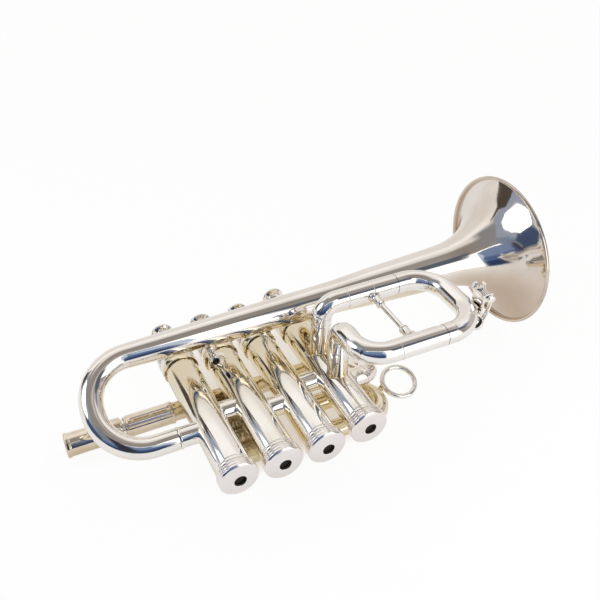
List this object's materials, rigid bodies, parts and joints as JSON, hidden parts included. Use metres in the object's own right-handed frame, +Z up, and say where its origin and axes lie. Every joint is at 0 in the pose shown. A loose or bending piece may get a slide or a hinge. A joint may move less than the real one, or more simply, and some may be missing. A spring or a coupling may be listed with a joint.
{
  "type": "piccolo trumpet",
  "caption": "Small valved brass instrument with a flared bell, tuning slides, a finger ring and a water key, lying on its side.",
  "frame": {"origin": "middle of the bounding box at the table it lies on", "axes": "+X towards the bell's mouth, +Y towards the finger buttons, +Z up, which is the player's right"},
  "size_m": [0.2818, 0.1304, 0.0948],
  "materials": {
    "silver_plate": "polished",
    "bright_silver_plate": "polished",
    "piston_alloy": "satin",
    "spring_steel": "satin",
    "felt": "matte",
    "cork": "matte"
  },
  "bodies": {
    "instrument": {"bell": "silver_plate", "bell_crook": "silver_plate", "bell_port": "silver_plate", "valve_casing_1": "silver_plate", "valve_casing_2": "silver_plate", "valve_casing_3": "silver_plate", "valve_casing_4": "silver_plate", "bottom_cap_1": "silver_plate", "bottom_cap_2": "silver_plate", "bottom_cap_3": "silver_plate", "bottom_cap_4": "silver_plate", "top_cap_1": "silver_plate", "top_cap_2": "silver_plate", "top_cap_3": "silver_plate", "top_cap_4": "silver_plate", "knuckle_1_2": "silver_plate", "knuckle_2_3": "silver_plate", "knuckle_3_4": "silver_plate", "slide_1_upper_leg": "silver_plate", "slide_1_lower_leg": "silver_plate", "slide_2_upper_leg": "silver_plate", "slide_2_lower_leg": "silver_plate", "slide_3_upper_leg": "silver_plate", "slide_3_lower_leg": "silver_plate", "slide_4_upper_leg": "silver_plate", "slide_4_lower_leg": "silver_plate", "leadpipe_sleeve": "silver_plate", "leadpipe_front_bow": "silver_plate", "bell_brace_1": "silver_plate", "bell_brace_2": "silver_plate", "bell_rim_wire": "bright_silver_plate", "slide_4_brace": "bright_silver_plate", "valve_spring_1": "spring_steel", "valve_spring_2": "spring_steel", "valve_spring_3": "spring_steel", "valve_spring_4": "spring_steel", "button_felt_1": "felt", "button_felt_2": "felt", "button_felt_3": "felt", "button_felt_4": "felt"},
    "slide_1": {"slide_1_bow": "silver_plate"},
    "slide_2": {"slide_2_bow": "silver_plate"},
    "slide_3": {"slide_3_bow": "silver_plate", "finger_ring": "bright_silver_plate"},
    "slide_4": {"slide_4_bow": "silver_plate", "water_key_saddle": "silver_plate", "water_key_pin": "bright_silver_plate", "water_key_spring": "spring_steel"},
    "water_key": {"water_key_lever": "silver_plate", "water_key_cork": "cork"},
    "leadpipe": {"mouthpiece_receiver": "silver_plate", "leadpipe_inner": "bright_silver_plate"},
    "valve_1": {"piston_1": "piston_alloy", "finger_button_1": "bright_silver_plate"},
    "valve_2": {"piston_2": "piston_alloy", "finger_button_2": "bright_silver_plate"},
    "valve_3": {"piston_3": "piston_alloy", "finger_button_3": "bright_silver_plate"},
    "valve_4": {"piston_4": "piston_alloy", "finger_button_4": "bright_silver_plate"}
  },
  "joints": [
    {"name": "valve_1_press", "type": "slide", "parent": "instrument", "child": "valve_1", "axis": [0, -1, 0], "range_m": [0, 0.0145], "stiffness_N_per_m": 180, "springref_m": -0.012, "deforming": ["valve_spring_1"]},
    {"name": "valve_2_press", "type": "slide", "parent": "instrument", "child": "valve_2", "axis": [0, -1, 0], "range_m": [0, 0.0145], "stiffness_N_per_m": 180, "springref_m": -0.012, "deforming": ["valve_spring_2"]},
    {"name": "valve_3_press", "type": "slide", "parent": "instrument", "child": "valve_3", "axis": [0, -1, 0], "range_m": [0, 0.0145], "stiffness_N_per_m": 180, "springref_m": -0.012, "deforming": ["valve_spring_3"]},
    {"name": "valve_4_press", "type": "slide", "parent": "instrument", "child": "valve_4", "axis": [0, -1, 0], "range_m": [0, 0.0145], "stiffness_N_per_m": 180, "springref_m": -0.012, "deforming": ["valve_spring_4"]},
    {"name": "slide_1_pull", "type": "slide", "parent": "instrument", "child": "slide_1", "axis": [1, 0, 0], "range_m": [0, 0.008]},
    {"name": "slide_2_pull", "type": "slide", "parent": "instrument", "child": "slide_2", "axis": [-1, 0, 0], "range_m": [0, 0.004]},
    {"name": "slide_3_pull", "type": "slide", "parent": "instrument", "child": "slide_3", "axis": [1, 0, 0], "range_m": [0, 0.012]},
    {"name": "slide_4_pull", "type": "slide", "parent": "instrument", "child": "slide_4", "axis": [1, 0, 0], "range_m": [0, 0.012]},
    {"name": "leadpipe_pull", "type": "slide", "parent": "instrument", "child": "leadpipe", "axis": [-1, 0, 0], "range_m": [0, 0.015]},
    {"name": "water_key_open", "type": "hinge", "parent": "slide_4", "child": "water_key", "pos_m": [0.0801, -0.04415, 0.0736], "axis": [0, -1, 0], "range_deg": [0, 20], "stiffness_Nm_per_rad": 0.03, "springref_deg": -28.65}
  ]
}
